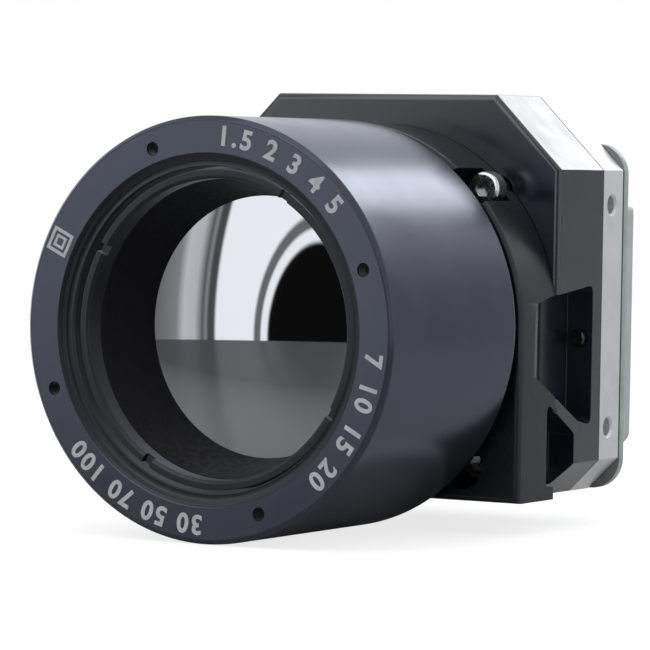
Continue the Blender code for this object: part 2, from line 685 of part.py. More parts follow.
def circuit_boards():
    board = cavity_outline(FRAME_CAVITY_TOP, FRAME_CAVITY_CHAMFER, 0.5)
    finish("detector_board", prism(board, -10.1, -9.1), CIRCUIT_BOARD)
    finish("processor_board", prism(board, -7.5, -6.7), CIRCUIT_BOARD)
    between = (-8.8, -7.8)
    block("stacking_connector", (-11, 10, 11, 14), *between, CONNECTOR_PLASTIC)
    block("processor_chip", (-7, -6, 7, 8), *between, CHIP_PLASTIC)
    repeated("board_spacer", cylinder_outline(1.5, *between), 16, BOARD_SPACERS, STEEL)
    behind = -6.4
    for number, x in enumerate((-13.5, 9.5), 1):
        block(f"memory_chip_{number}", (x, -4, x + 4, 4), behind, -5.4, CHIP_PLASTIC)
    block("interface_connector", (-11, -12, 11, -8), behind, BOARD_FRONT - GAP, CONNECTOR_PLASTIC)


def interface_board():
    shape = prism(round_outline(*BOARD_BOX, 3.5), BOARD_FRONT, BOARD_REAR)
    board = finish("interface_board", shape, CIRCUIT_BOARD)
    before, behind = BOARD_FRONT - 1, BOARD_REAR + 1
    boolean(board, holes(M2_CLEARANCE, before, behind, FRAME_SCREWS), "board_screw_holes")
    boolean(board, holes(COVER_CLEARANCE, before, behind, COVER_SCREWS), "board_cover_holes")
    seat = BOARD_REAR + GAP
    cap_screws("frame_screw", FRAME_SCREWS, seat, FRAME_SCREW_TIP, head=(1.8, 1.2), socket_depth=0.7, facing=1)


def rear_cover():
    shape = prism(round_outline(*COVER_BOX, 1.5, 4), COVER_FRONT, 0.0)
    bevel_edges_at(shape, 0.0, 0.4)
    cover = finish("rear_cover", shape, COVER_ALUMINIUM)
    before, behind = COVER_FRONT - 1, 1.0
    boolean(cover, prism(round_outline(*CONNECTOR_OPENING, 0.8, 3), before, behind), "connector_opening")
    boolean(cover, holes(VIDEO_OPENING, before, behind, [VIDEO_PLACE]), "video_opening")
    boolean(cover, prism(round_outline(*POWER_OPENING, 0.5, 3), before, behind), "power_opening")
    sink = [
        (0.0, before),
        (COVER_CLEARANCE, before),
        (COVER_CLEARANCE, -1.3),
        (2.1, -0.3),
        (2.1, behind),
        (0.0, behind),
    ]
    sinks = bmesh.new()
    for place in COVER_SCREWS:
        add_turned(sinks, sink, SMALL_ROUND, place)
    boolean(cover, sinks, "countersink_cutter")
    tip = -6.8
    screw = [
        (0.0, -0.9),
        (0.6, -0.9),
        (0.6, -0.25),
        (1.7, -0.25),
        (1.7, -0.5),
        (0.75, -1.35),
        (0.75, tip),
        (0.0, tip),
    ]
    repeated("cover_screw", screw, TINY_ROUND, COVER_SCREWS, STEEL)


def comb_outline(centre, teeth, pitch):
    """A row of contact blades on one carrier strip, seen from above."""
    half = pitch * teeth / 2
    strip, root, tip = -1.5, -1.3, -0.7
    outline = [(centre - half, strip), (centre + half, strip), (centre + half, root)]
    for tooth in reversed(range(teeth)):
        x = centre - half + pitch * (tooth + 0.5)
        outline += [(x + 0.2, root), (x + 0.2, tip), (x - 0.2, tip), (x - 0.2, root)]
    return [*outline, (centre - half, root)]


def rear_sockets():
    connector = block("rear_connector", CONNECTOR_BOX, COVER_FRONT, SOCKET_REAR, CONNECTOR_PLASTIC)
    boolean(connector, prism(box_outline(*CONNECTOR_WELL), WELL_FLOOR, 1.0), "connector_well")
    for name, z in CONTACT_ROWS:
        finish(name, prism(comb_outline(0.0, 16, 1.3), z - 0.15, z + 0.15, "Z"), GOLD)
    bore = 0.9
    video = [
        (bore, COVER_FRONT),
        (2.6, COVER_FRONT),
        (2.6, -1.6),
        (2.1, -1.6),
        (2.1, SOCKET_REAR),
        (1.5, SOCKET_REAR),
        (1.5, -1.9),
        (bore, -1.9),
    ]
    finish("video_socket", turned(video, SMALL_ROUND, VIDEO_PLACE), GOLD)
    finish("video_pin", turned(cylinder_outline(0.4, -2.2, -0.8), TINY_ROUND, VIDEO_PLACE), GOLD)
    power = block("power_socket", POWER_BOX, COVER_FRONT, SOCKET_REAR, CONNECTOR_PLASTIC)
    boolean(power, prism(box_outline(*POWER_WELL), WELL_FLOOR, 1.0), "power_well")
    finish("power_contacts", prism(comb_outline(9.0, 4, 2.0), -6.65, -6.35, "Z"), GOLD)


lens_barrel()
front_retaining_ring()
lens_glass()
lens_inner_rings()
lens_seal()
focus_lock_ring()
lens_mount()
front_housing()
rear_frame()
shutter()
detector()
circuit_boards()
interface_board()
rear_cover()
rear_sockets()
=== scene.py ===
"""Looks for the thermal camera core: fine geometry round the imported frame, materials, light and camera.

Shapes are in millimetres and are scaled by MM as they are made. Places come from the frame's boxes."""

import math

import bmesh
import bpy
from mathutils import Matrix, Vector


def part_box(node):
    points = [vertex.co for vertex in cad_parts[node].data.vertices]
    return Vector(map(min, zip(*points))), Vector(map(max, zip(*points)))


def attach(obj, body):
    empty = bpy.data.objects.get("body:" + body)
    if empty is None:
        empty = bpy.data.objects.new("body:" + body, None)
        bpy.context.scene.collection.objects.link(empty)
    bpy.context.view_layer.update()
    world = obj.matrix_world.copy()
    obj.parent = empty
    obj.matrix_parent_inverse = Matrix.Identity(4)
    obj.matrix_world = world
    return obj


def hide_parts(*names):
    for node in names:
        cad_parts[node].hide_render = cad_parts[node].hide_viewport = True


MM = 0.001
TURN = math.tau
FINE = 192
MEDIUM = 96
SMALL = 48

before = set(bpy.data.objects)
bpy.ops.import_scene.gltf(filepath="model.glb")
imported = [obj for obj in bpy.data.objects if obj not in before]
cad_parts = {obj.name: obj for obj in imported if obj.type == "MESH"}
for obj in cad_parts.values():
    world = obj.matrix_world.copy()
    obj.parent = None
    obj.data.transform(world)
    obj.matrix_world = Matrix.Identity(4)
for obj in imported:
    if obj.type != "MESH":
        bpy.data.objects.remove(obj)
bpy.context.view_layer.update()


def box_mm(node):
    low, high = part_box(node)
    return low / MM, high / MM


# ---------------------------------------------------------------- sizes read from the frame

BARREL_LOW, BARREL_HIGH = box_mm("lens_barrel")
LENS_FRONT = BARREL_LOW.y
LENS_RADIUS = BARREL_HIGH.x
RING_LOW, RING_HIGH = box_mm("front_retaining_ring")
CONE_LOW, CONE_HIGH = box_mm("front_baffle_cone")
GLASS_LOW, GLASS_HIGH = box_mm("front_element")
MOUNT_LOW, MOUNT_HIGH = box_mm("lens_mount")
HOUSING_LOW, HOUSING_HIGH = box_mm("front_housing")
FRAME_LOW, FRAME_HIGH = box_mm("rear_frame")
BOARD_LOW, BOARD_HIGH = box_mm("interface_board")
COVER_LOW, COVER_HIGH = box_mm("rear_cover")
LOCK_LOW, LOCK_HIGH = box_mm("focus_lock_ring")

HALF = HOUSING_HIGH.x
TOP = HOUSING_HIGH.z
BOTTOM = HOUSING_LOW.z
TOP_CHAMFER = 8.2
BOTTOM_CHAMFER = 3.7
FACE_SINK = 0.04
FACE = LENS_FRONT + FACE_SINK
BARREL_REAR = LOCK_LOW.y - 0.3
MOUNT_BORE = LOCK_HIGH.x - 3.2
POCKET_DEPTH = 3.17
POCKET_FLOOR = HALF - POCKET_DEPTH
POCKET_REAR = -11.2


# ---------------------------------------------------------------- mesh helpers


def smooth(mesh, degrees=32):
    mesh.shade_smooth()
    mesh.set_sharp_from_angle(angle=math.radians(degrees))


def object_from(name, shape):
    """Makes an object in metres from a bmesh in millimetres, and frees the bmesh."""
    bmesh.ops.recalc_face_normals(shape, faces=shape.faces)
    bmesh.ops.scale(shape, verts=shape.verts, vec=(MM, MM, MM))
    mesh = bpy.data.meshes.new(name)
    shape.to_mesh(mesh)
    shape.free()
    made = bpy.data.objects.new(name, mesh)
    bpy.context.scene.collection.objects.link(made)
    return made


def piece(name, shape, look, body, node=None):
    """Makes an object from a bmesh in millimetres and hangs it on its body."""
    made = object_from(name, shape)
    smooth(made.data)
    made.data.materials.append(look)
    if body is not None:
        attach(made, body)
    if node is not None:
        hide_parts(*([node] if isinstance(node, str) else node))
    return made


def merge(shape, part):
    """Moves one bmesh into another, and frees it."""
    mesh = bpy.data.meshes.new("merged")
    part.to_mesh(mesh)
    part.free()
    shape.from_mesh(mesh)
    bpy.data.meshes.remove(mesh)


def round_edges(shape, edges, width, segments):
    bmesh.ops.bevel(shape, geom=edges, offset=width, segments=segments, profile=0.5, affect="EDGES")


def edges_at(shape, y):
    """The edges that lie in one plane across the Y axis."""
    return [edge for edge in shape.edges if all(abs(vert.co.y - y) < 1e-4 for vert in edge.verts)]


def round_end(shape, y, width, segments):
    round_edges(shape, edges_at(shape, y), width, segments)


def apply_modifiers(target):
    graph = bpy.context.evaluated_depsgraph_get()
    mesh = bpy.data.meshes.new_from_object(target.evaluated_get(graph))
    target.modifiers.clear()
    target.data = mesh


def carve(target, cutters, operation="DIFFERENCE"):
    """Applies one Boolean for each bmesh, in order, and removes the helpers."""
    for shape in cutters:
        helper = object_from("helper", shape) if isinstance(shape, bmesh.types.BMesh) else shape
        step = target.modifiers.new("carve", "BOOLEAN")
        step.operation = operation
        step.solver = "EXACT"
        step.object = helper
        apply_modifiers(target)
        bpy.data.objects.remove(helper)
    smooth(target.data)


def soften_edges(target, width, segments=2):
    """Rounds every sharp edge of a finished mesh, and keeps its flat faces shaded flat."""
    step = target.modifiers.new("soft_edges", "BEVEL")
    step.width = width * MM
    step.segments = segments
    step.limit_method = "ANGLE"
    step.angle_limit = math.radians(30)
    apply_modifiers(target)
    smooth(target.data, 60)
    even = target.modifiers.new("even_normals", "WEIGHTED_NORMAL")
    even.weight = 100
    even.keep_sharp = True
    apply_modifiers(target)


def rounded(outline, radius, steps=3):
    """Rounds the corners of a closed outline by arcs no longer than a third of the sides they meet."""
    result = []
    count = len(outline)
    for index in range(count):
        before, here, after = (Vector(outline[(index + shift) % count]) for shift in (-1, 0, 1))
        back, ahead = before - here, after - here
        if back.length < 1e-6 or ahead.length < 1e-6:
            continue
        turn = math.pi - back.angle(ahead)
        if turn < math.radians(8):
            result.append(tuple(here))
            continue
        reach = min(radius * math.tan(turn / 2), back.length / 3, ahead.length / 3)
        start, end = here + back.normalized() * reach, here + ahead.normalized() * reach
        for step in range(steps + 1):
            share = step / steps
            result.append(tuple(start.lerp(here, share).lerp(here.lerp(end, share), share)))
    return result


def add_lathe(shape, outline, segments, centre=(0.0, 0.0)):
    """Turns a closed outline of (radius, y) points round the axis parallel to Y through centre (x, z)."""
    x, z = centre
    rings = []
    for radius, y in outline:
        if radius < 1e-6:
            rings.append([shape.verts.new((x, y, z))])
            continue
        ring = []
        for step in range(segments):
            angle = TURN * step / segments
            ring.append(shape.verts.new((x + radius * math.cos(angle), y, z + radius * math.sin(angle))))
        rings.append(ring)
    for index, ring in enumerate(rings):
        after = rings[(index + 1) % len(rings)]
        if len(ring) == 1 and len(after) == 1:
            continue
        for step in range(segments):
            a, b = ring[step % len(ring)], ring[(step + 1) % len(ring)]
            c, d = after[(step + 1) % len(after)], after[step % len(after)]
            if len(ring) == 1:
                corners = [a, c, d]
            elif len(after) == 1:
                corners = [a, b, d]
            else:
                corners = [a, b, c, d]
            shape.faces.new(corners)


def supported(outline, margin=0.05, longest=0.4):
    """Adds points close to both ends of each long side, so that smooth shading stays true along it."""
    result = []
    for index, here in enumerate(outline):
        start, end = Vector(here), Vector(outline[(index + 1) % len(outline)])
        result.append(tuple(start))
        span = end - start
        if span.length > longest:
            result += [tuple(start + span.normalized() * margin), tuple(end - span.normalized() * margin)]
    return result


def lathe(outline, segments=FINE, centre=(0.0, 0.0)):
    shape = bmesh.new()
    add_lathe(shape, supported(outline), segments, centre)
    return shape


def add_prism(shape, outline, low, high, axis="Y", edge=0.0, segments=3):
    """Extrudes a closed outline along an axis, with its end edges rounded by edge."""

    def place(a, b, along):
        return {"Y": (a, along, b), "X": (along, a, b), "Z": (a, b, along)}[axis]

    face = shape.faces.new([shape.verts.new(place(a, b, low)) for a, b in outline])
    grown = bmesh.ops.extrude_face_region(shape, geom=[face])
    moved = [item for item in grown["geom"] if isinstance(item, bmesh.types.BMVert)]
    bmesh.ops.translate(shape, verts=moved, vec=place(0, 0, high - low))
    if edge > 0:
        top = set(moved)
        rims = list(face.edges) + [rim for rim in shape.edges if top.issuperset(rim.verts)]
        round_edges(shape, rims, edge, segments)


def prism(outline, low, high, axis="Y", edge=0.0, segments=3):
    shape = bmesh.new()
    add_prism(shape, outline, low, high, axis, edge, segments)
    return shape


def box_outline(x0, z0, x1, z1):
    return [(x0, z0), (x1, z0), (x1, z1), (x0, z1)]


def chamfered_outline(half, bottom, top, top_chamfer, bottom_chamfer):
    return [
        (-half + bottom_chamfer, bottom),
        (half - bottom_chamfer, bottom),
        (half, bottom + bottom_chamfer),
        (half, top - top_chamfer),
        (half - top_chamfer, top),
        (-half + top_chamfer, top),
        (-half, top - top_chamfer),
        (-half, bottom + bottom_chamfer),
    ]


def round_outline(x0, z0, x1, z1, radius, steps=8):
    corners = ((x1, z0, -90.0, -1, 1), (x1, z1, 0.0, -1, -1), (x0, z1, 90.0, 1, -1), (x0, z0, 180.0, 1, 1))
    outline = []
    for x, z, start, inward_x, inward_z in corners:
        for step in range(steps + 1):
            angle = math.radians(start + 90.0 * step / steps)
            centre_x, centre_z = x + inward_x * radius, z + inward_z * radius
            outline.append((centre_x + radius * math.cos(angle), centre_z + radius * math.sin(angle)))
    return outline


def on_circle(radius, degrees):
    angle = math.radians(degrees)
    return radius * math.cos(angle), radius * math.sin(angle)


def drill(radius, front, rear, places, segments=SMALL):
    shape = bmesh.new()
    for place in places:
        add_lathe(shape, [(0, front), (radius, front), (radius, rear), (0, rear)], segments, place)
    return shape


def centre_of(node):
    low, high = box_mm(node)
    return (low + high) / 2


# ---------------------------------------------------------------- materials


class Look:
    """A Principled material with short calls for its procedural detail."""

    def __init__(self, name, colour, roughness, metallic=0.0, **inputs):
        self.material = bpy.data.materials.new(name)
        self.material.use_nodes = True
        self.tree = self.material.node_tree
        self.shader = self.tree.nodes["Principled BSDF"]
        self.shader.inputs["Base Color"].default_value = (*colour, 1.0)
        self.shader.inputs["Roughness"].default_value = roughness
        self.shader.inputs["Metallic"].default_value = metallic
        for key, value in inputs.items():
            self.shader.inputs[key.replace("_", " ").title().replace("Ior", "IOR")].default_value = value
        self.colour = colour
        self.coordinates = self.node("ShaderNodeTexCoord").outputs["Object"]

    def node(self, kind, **values):
        made = self.tree.nodes.new(kind)
        for key, value in values.items():
            setattr(made, key, value)
        return made

    def link(self, start, end):
        self.tree.links.new(start, end)

    def noise(self, scale, detail=4.0, roughness=0.6, stretch=None):
        """Noise whose scale is in features per millimetre, stretched along an axis if asked."""
        made = self.node("ShaderNodeTexNoise")
        made.inputs["Scale"].default_value = scale / MM
        made.inputs["Detail"].default_value = detail
        made.inputs["Roughness"].default_value = roughness
        source = self.coordinates
        if stretch:
            mapping = self.node("ShaderNodeMapping")
            mapping.inputs["Scale"].default_value = stretch
            self.link(source, mapping.inputs["Vector"])
            source = mapping.outputs["Vector"]
        self.link(source, made.inputs["Vector"])
        return made.outputs["Fac"]

    def span(self, value, low, high, out_low, out_high):
        made = self.node("ShaderNodeMapRange")
        for key, number in (("From Min", low), ("From Max", high), ("To Min", out_low), ("To Max", out_high)):
            made.inputs[key].default_value = number
        self.link(value, made.inputs["Value"])
        return made.outputs["Result"]

    def mix(self, factor, first, second):
        made = self.node("ShaderNodeMix", data_type="RGBA")
        self.link(factor, made.inputs["Factor"])
        for socket, value in ((made.inputs[6], first), (made.inputs[7], second)):
            if isinstance(value, tuple):
                socket.default_value = (*value, 1.0)
            else:
                self.link(value, socket)
        return made.outputs[2]

    def vary_roughness(self, value, low, high):
        self.link(self.span(value, 0.3, 0.7, low, high), self.shader.inputs["Roughness"])
        return self

    def vary_colour(self, value, other):
        blend = self.mix(self.span(value, 0.35, 0.7, 0.0, 1.0), self.colour, other)
        self.link(blend, self.shader.inputs["Base Color"])
        return self

    def bump(self, value, height):
        """Bump with its height in millimetres."""
        made = self.node("ShaderNodeBump")
        made.inputs["Strength"].default_value = 1.0
        made.inputs["Distance"].default_value = height * MM
        self.link(value, made.inputs["Height"])
        previous = self.shader.inputs["Normal"].links
        if previous:
            self.link(previous[0].from_socket, made.inputs["Normal"])
        self.link(made.outputs["Normal"], self.shader.inputs["Normal"])
        return self


COOL_SHEEN = (0.91, 0.935, 1.0, 1.0)


def turned_anodise(name, colour, roughness, metallic):
    """Satin anodised aluminium that was turned on a lathe: fine rings, a faint cloud and blasted grain."""
    look = Look(name, colour, roughness, metallic, specular_ior_level=0.6, specular_tint=COOL_SHEEN)
    separate = look.node("ShaderNodeSeparateXYZ")
    look.link(look.coordinates, separate.inputs["Vector"])
    lines = look.node("ShaderNodeTexNoise", noise_dimensions="1D")
    lines.inputs["Scale"].default_value = 9.0 / MM
    lines.inputs["Detail"].default_value = 3.0
    look.link(separate.outputs["Y"], lines.inputs["W"])
    grain = look.noise(14.0, 2.0)
    cloud = look.noise(0.12, 3.0)
    look.vary_roughness(cloud, roughness - 0.03, roughness + 0.04)
    look.vary_colour(cloud, tuple(channel * 1.14 for channel in colour))
    look.bump(lines.outputs["Fac"], 0.0012)
    look.bump(grain, 0.0014)
    return look


def black_paint(name, colour, roughness, shine=0.85):
    """Satin black coating with a fine texture, slightly greyer where it is thin."""
    look = Look(name, colour, roughness, 0.0, specular_ior_level=shine)
    grain = look.noise(6.5, 4.0)
    cloud = look.noise(0.2, 4.0)
    look.vary_roughness(cloud, roughness - 0.05, roughness + 0.06)
    look.vary_colour(cloud, tuple(channel * 1.3 for channel in colour))
    look.bump(grain, 0.0012)
    return look


def blasted_aluminium(name, colour, roughness):
    look = Look(name, colour, roughness, 0.85)
    grain = look.noise(9.0, 3.0)
    brushed = look.noise(2.2, 4.0, 0.6, (1.0, 1.0, 0.06))
    look.vary_roughness(brushed, roughness - 0.06, roughness + 0.08)
    look.vary_colour(look.noise(0.3, 4.0), tuple(channel * 0.9 for channel in colour))
    look.bump(brushed, 0.002)
    look.bump(grain, 0.003)
    return look


def germanium(name):
    """Polished germanium under a dark blue-grey coating: a cool mirror."""
    look = Look(name, (0.41, 0.42, 0.44), 0.025, 1.0)
    look.vary_colour(look.noise(0.05, 2.0), (0.425, 0.435, 0.455))
    look.bump(look.noise(0.8, 1.0), 0.00002)
    return look


def steel(name, colour=(0.62, 0.62, 0.63)):
    look = Look(name, colour, 0.22, 1.0)
    look.vary_roughness(look.noise(3.0, 4.0), 0.16, 0.32)
    look.bump(look.noise(8.0, 3.0, 0.6, (1.0, 0.1, 1.0)), 0.002)
    return look


def moulded(name, colour, roughness=0.42, shine=0.5):
    look = Look(name, colour, roughness, 0.0, specular_ior_level=shine)
    look.vary_roughness(look.noise(1.4, 4.0), roughness - 0.06, roughness + 0.08)
    look.vary_colour(look.noise(0.7, 3.0), tuple(channel * 1.25 for channel in colour))
    look.bump(look.noise(10.0, 3.0), 0.003)
    return look


def board_look(name):
    """Green solder mask over laminate, with faint copper tracks under it."""
    green, bright_green, over_track = (0.016, 0.075, 0.045), (0.03, 0.115, 0.06), (0.02, 0.09, 0.05)
    look = Look(name, green, 0.32, 0.0, coat_weight=0.35, coat_roughness=0.12)
    tracks = look.node("ShaderNodeTexBrick")
    tracks.inputs["Scale"].default_value = 0.32 / MM
    tracks.inputs["Mortar Size"].default_value = 0.05
    mapping = look.node("ShaderNodeMapping")
    mapping.inputs["Rotation"].default_value = (math.radians(90), 0, 0)
    look.link(look.coordinates, mapping.inputs["Vector"])
    look.link(mapping.outputs["Vector"], tracks.inputs["Vector"])
    masked = look.mix(look.span(look.noise(0.35, 2.0), 0.5, 0.56, 0.0, 1.0), green, bright_green)
    look.link(look.mix(tracks.outputs["Fac"], masked, over_track), look.shader.inputs["Base Color"])
    look.bump(tracks.outputs["Fac"], 0.01)
    look.bump(look.noise(5.0, 3.0), 0.004)
    return look


BARREL_BLACK = turned_anodise("barrel_anodise", (0.060, 0.066, 0.086), 0.21, 0.75).material
FACE_BLACK = turned_anodise("face_anodise", (0.048, 0.050, 0.060), 0.30, 0.7).material
RING_BLACK = turned_anodise("ring_anodise", (0.030, 0.031, 0.034), 0.32, 0.7).material
BAFFLE_BLACK = moulded("baffle_matte_black", (0.003, 0.003, 0.004), 0.6, 0.2).material
HOUSING_BLACK = black_paint("housing_black", (0.008, 0.0095, 0.017), 0.2).material
MOUNT_BLACK = black_paint("mount_black", (0.006, 0.007, 0.011), 0.26, 0.4).material
GERMANIUM = germanium("coated_germanium_mirror").material
BARE_ALUMINIUM = blasted_aluminium("bare_aluminium_frame", (0.74, 0.755, 0.76), 0.55).material
COVER_ALUMINIUM = blasted_aluminium("rear_cover_metal", (0.60, 0.625, 0.635), 0.42).material
STEEL = steel("machined_steel").material
DARK_STEEL = steel("dark_steel", (0.07, 0.07, 0.075)).material
RUBBER = moulded("seal_rubber", (0.012, 0.012, 0.012), 0.6).material
BOARD = board_look("green_circuit_board").material
BOARD_FRONT = moulded("laminate_front", (0.155, 0.175, 0.172), 0.4).material
BOARD_EDGE = moulded("laminate_edge", (0.32, 0.38, 0.355), 0.4).material
CONNECTOR = moulded("connector_black", (0.018, 0.018, 0.02), 0.4).material
CHIP = moulded("chip_black", (0.02, 0.02, 0.022), 0.45).material
CERAMIC = moulded("ceramic_white", (0.62, 0.6, 0.55), 0.5).material
SHUTTER = black_paint("shutter_black", (0.02, 0.02, 0.022), 0.42).material
PAINT_WHITE = moulded("engraving_paint", (0.46, 0.45, 0.47), 0.5).material
SOLDER = steel("solder_tin").material
gold = Look("gold_contact", (0.86, 0.60, 0.22), 0.24, 1.0)
gold.vary_roughness(gold.noise(3.0), 0.18, 0.34).bump(gold.noise(7.0), 0.002)
GOLD = gold.material


# ---------------------------------------------------------------- lens


def at_depth(radius, depth):
    """A lens outline point at a depth behind the lens's front plane."""
    return radius, LENS_FRONT + depth


def vee_thread(radius, start, end, pitch, depth):
    """Ring-shaped vee grooves that read as a fine thread, from start to end along a bore or a neck."""
    count = max(1, round(abs(end - start) / pitch))
    step = (end - start) / count
    points = []
    for index in range(count):
        base = start + step * index
        points += [(radius + deep, base + step * share) for deep, share in ((0, 0.1), (depth, 0.5), (0, 0.9))]
    return points


CELL_RADIUS = RING_HIGH.x + 0.3
FACE_INNER = 18.7
SPANNER_CIRCLE = 20.1
SPANNER_START = 20.0
QUARTERS = (0.0, 90.0, 180.0, 270.0)
NECK_RADIUS = LOCK_HIGH.x - 3.5
SPLIT_DEPTH = 12.6
HOLE_RADIUS = 0.78


def barrel():
    """The barrel in two lengths: the front cell's rim, which the glass doesn't mirror, and the rest."""
    length = BARREL_REAR - LENS_FRONT
    front_outline = rounded(
        [
            at_depth(FACE_INNER, FACE_SINK),
            at_depth(LENS_RADIUS - 0.45, FACE_SINK),
            at_depth(LENS_RADIUS, 0.5),
            at_depth(LENS_RADIUS, SPLIT_DEPTH),
            at_depth(CELL_RADIUS, SPLIT_DEPTH),
        ],
        0.16,
    )
    front_outline = front_outline[4:-8]
    front_outline += [at_depth(LENS_RADIUS, SPLIT_DEPTH), at_depth(CELL_RADIUS, SPLIT_DEPTH)]
    front_outline += vee_thread(CELL_RADIUS, LENS_FRONT + 4.3, LENS_FRONT + 1.3, 0.35, 0.16)
    front_outline += rounded(
        [
            at_depth(CELL_RADIUS, 1.1),
            at_depth(17.9, 1.1),
            at_depth(17.9, 0.6),
            at_depth(18.4, 0.6),
            at_depth(18.4, 0.3),
            at_depth(FACE_INNER, FACE_SINK),
        ],
        0.08,
        2,
    )[1:]
    made = piece("lens_barrel_rim", lathe(front_outline, FINE), BARREL_BLACK, "lens", "lens_barrel")
    made.visible_glossy = False
    places = [on_circle(SPANNER_CIRCLE, SPANNER_START + turn) for turn in QUARTERS]
    holes = bmesh.new()
    for place in places:
        hole = [(0, -1), (HOLE_RADIUS, -1), (HOLE_RADIUS, 0), (0.6, 0.18), (0.6, 1.5), (0, 1.8)]
        add_lathe(holes, [(radius, FACE + depth) for radius, depth in hole], SMALL, place)
    carve(made, [holes])
    for look in (FACE_BLACK, BAFFLE_BLACK, RING_BLACK):
        made.data.materials.append(look)
    for polygon in made.data.polygons:
        across, _, up = polygon.center / MM
        hole_gap = min(math.hypot(across - x, up - z) for x, z in places) - HOLE_RADIUS
        if polygon.center.y < (FACE + 0.02) * MM and polygon.normal.y < -0.9:
            polygon.material_index = 1
        # Painted shade: the walls of the spanner holes take the matte baffle black, so the holes read dark.
        elif polygon.normal.y > -0.9 and hole_gap < 0.01:
            polygon.material_index = 2
        # Painted shade: the rim's inner steps, in the recess by the glass, take the darker ring anodise so
        # their edges shine less.
        elif math.hypot(across, up) < FACE_INNER - 0.1:
            polygon.material_index = 3

    outline = [
        at_depth(CELL_RADIUS, SPLIT_DEPTH),
        at_depth(LENS_RADIUS, SPLIT_DEPTH),
        at_depth(LENS_RADIUS, length - 0.5),
        at_depth(LENS_RADIUS - 0.1, length - 0.22),
        at_depth(LENS_RADIUS - 0.5, length),
        at_depth(NECK_RADIUS, length),
    ]
    outline += vee_thread(NECK_RADIUS, BARREL_REAR + 0.3, -26.4, 0.5, -0.22)
    outline += [
        at_depth(NECK_RADIUS, 31.5),
        at_depth(NECK_RADIUS - 1.8, 31.5),
        at_depth(NECK_RADIUS - 1.8, 33.6),
        at_depth(NECK_RADIUS, 33.6),
        at_depth(NECK_RADIUS, 35.4),
        at_depth(NECK_RADIUS - 0.4, 35.8),
        at_depth(11.4, 35.8),
        at_depth(11.4, 31.2),
        at_depth(9.8, 31.2),
        at_depth(9.8, 27.0),
        at_depth(14.4, 26.5),
        at_depth(14.4, 16.6),
        at_depth(CELL_RADIUS, 16.6),
    ]
    piece("lens_barrel_body", lathe(outline, FINE), BARREL_BLACK, "lens", "lens_barrel")


def retaining_ring():
    front, rear = RING_LOW.y, RING_HIGH.y
    outer, inner = RING_HIGH.x, RING_HIGH.x - 1.0
    outline = rounded(
        [(inner + 0.3, front), (outer, front), (outer, rear), (inner, rear), (inner, front + 0.3)], 0.1
    )
    shape = lathe(outline)
    made = piece("retaining_ring_body", shape, RING_BLACK, "lens", "front_retaining_ring")
    made.visible_glossy = False
    slots = bmesh.new()
    for turn in (0.0, 90.0):
        added = bmesh.ops.create_cube(slots, size=1.0)["verts"]
        bmesh.ops.scale(slots, verts=added, vec=(40.0, 1.6, 1.1))
        bmesh.ops.transform(slots, verts=added, matrix=Matrix.Rotation(-math.radians(60.0 + turn), 4, "Y"))
        bmesh.ops.translate(slots, verts=added, vec=(0, front, 0))
    carve(made, [slots])


def baffle_cone():
    """The cone in front of the glass, cut in fine steps that trap stray light."""
    front, rear, outer = CONE_LOW.y, CONE_HIGH.y, CONE_HIGH.x
    mouth, throat, steps = 15.9, 14.1, 16
    outline = [(mouth, front), (outer, front), (outer, rear), (throat, rear)]
    for step in range(steps):
        share = step / steps
        y = rear - 0.2 - (rear - 0.2 - front) * share
        radius = throat + (mouth - throat) * share
        outline += [(radius, y), (radius + 0.1, y - (rear - front) / steps * 0.82)]
    shape = lathe(outline)
    made = piece("baffle_cone_body", shape, BAFFLE_BLACK, "lens", "front_baffle_cone")
    made.visible_glossy = False


def glass():
    """The domed front element, with a polished face, a fine ground edge and a flat rear."""
    reach, vertex, radius, rings = GLASS_HIGH.x, GLASS_LOW.y, 58.0, 72
    outline = []
    for ring in range(rings + 1):
        distance = (reach - 0.25) * ring / rings
        outline.append((distance, vertex + radius - math.sqrt(radius**2 - distance**2)))
    edge = outline[-1][1]
    outline += [(reach, edge + 0.25), (reach, GLASS_HIGH.y), (0, GLASS_HIGH.y - 1.0)]
    piece("front_element_glass", lathe(outline, 256), GERMANIUM, "lens", "front_element")


def lock_ring():
    front, rear, outer, inner = LOCK_LOW.y, LOCK_HIGH.y, LOCK_HIGH.x, MOUNT_BORE
    outline = rounded([(inner, front), (outer, front), (outer, rear), (inner, rear)], 0.15)
    made = piece("lock_ring_body", lathe(outline), RING_BLACK, "lock_ring", "focus_lock_ring")
    notches = drill(1.0, front - 1, rear + 1, [on_circle(outer, turn) for turn in QUARTERS])
    grip = [on_circle(outer + 0.18, 3.75 + 7.5 * step) for step in range(48)]
    carve(made, [notches, drill(0.32, front - 1, rear + 1, grip, 10)])


def glyph_mesh(shape, text, size, matrix, thickness):
    """Adds the solid letters of a text to a bmesh, placed by a matrix in millimetres."""
    curve = bpy.data.curves.new("glyph", "FONT")
    curve.body = text
    curve.size = size
    curve.extrude = thickness / 2
    curve.offset = size * 0.03
    curve.align_x = "CENTER"
    curve.align_y = "BOTTOM_BASELINE"
    curve.resolution_u = 6
    holder = bpy.data.objects.new("glyph", curve)
    bpy.context.scene.collection.objects.link(holder)
    bpy.context.view_layer.update()
    mesh = bpy.data.meshes.new_from_object(holder.evaluated_get(bpy.context.evaluated_depsgraph_get()))
    mesh.transform(matrix)
    shape.from_mesh(mesh)
    bpy.data.meshes.remove(mesh)
    bpy.data.objects.remove(holder)
    bpy.data.curves.remove(curve)


def on_face(radius, degrees, y):
    """A matrix from a glyph's own plane to the lens's front face, with the glyph's top outwards."""
    angle = math.radians(degrees)
    right = Vector((math.sin(angle), 0, -math.cos(angle)))
    up = Vector((math.cos(angle), 0, math.sin(angle)))
    out = Vector((0, -1, 0))
    place = up * radius + Vector((0, y, 0))
    return Matrix(
        (
            (right.x, up.x, out.x, place.x),
            (right.y, up.y, out.y, place.y),
            (right.z, up.z, out.z, place.z),
            (0, 0, 0, 1),
        )
    )


